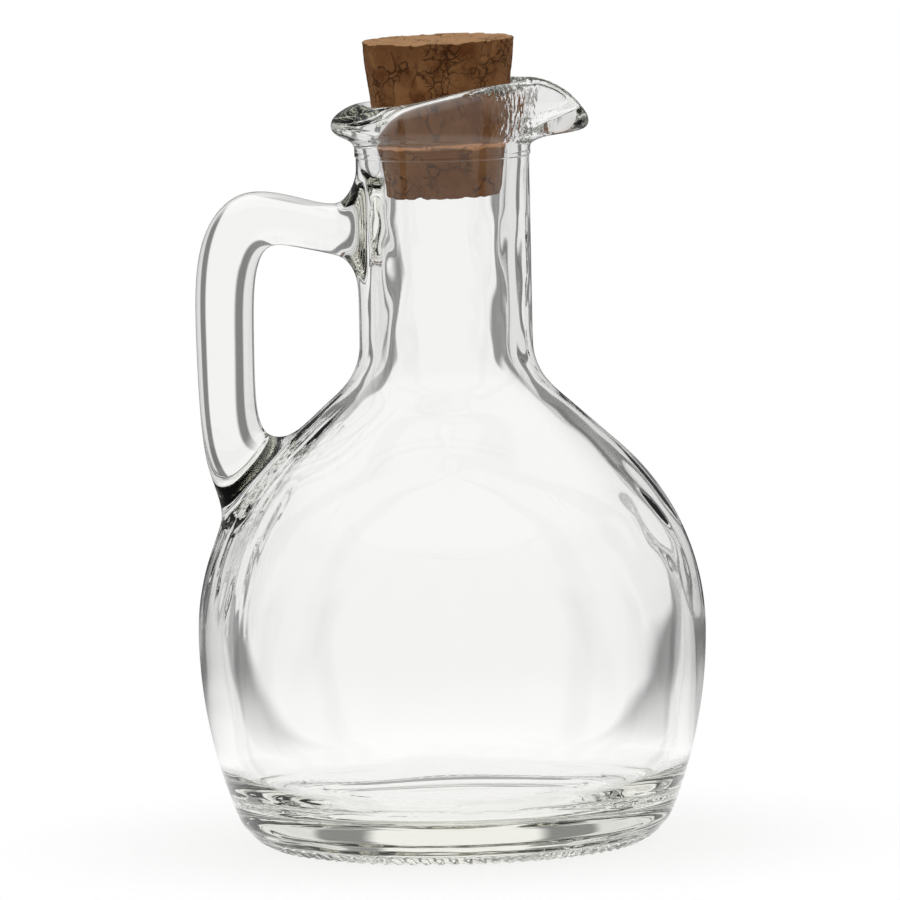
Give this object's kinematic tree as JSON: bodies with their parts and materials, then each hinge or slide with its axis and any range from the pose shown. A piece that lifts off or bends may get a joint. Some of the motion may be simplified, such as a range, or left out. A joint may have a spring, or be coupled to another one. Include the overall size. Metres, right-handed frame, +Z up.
{
  "type": "corked glass bottle",
  "caption": "Round-bellied clear glass cruet with a side handle, a wavy pouring lip and a tapered cork stopper.",
  "frame": {"origin": "centre of the base, on the plane the bottle stands on", "axes": "+Z up the neck, +X towards the pouring spout, handle towards -X"},
  "size_m": [0.0848, 0.0848, 0.1349],
  "materials": {
    "glass": "clear soda-lime glass, smooth and slightly wavy",
    "cork": "ground natural cork, pressed in grains, matt"
  },
  "bodies": {
    "root": {"bottle": "glass", "cork": "cork"}
  },
  "joints": []
}
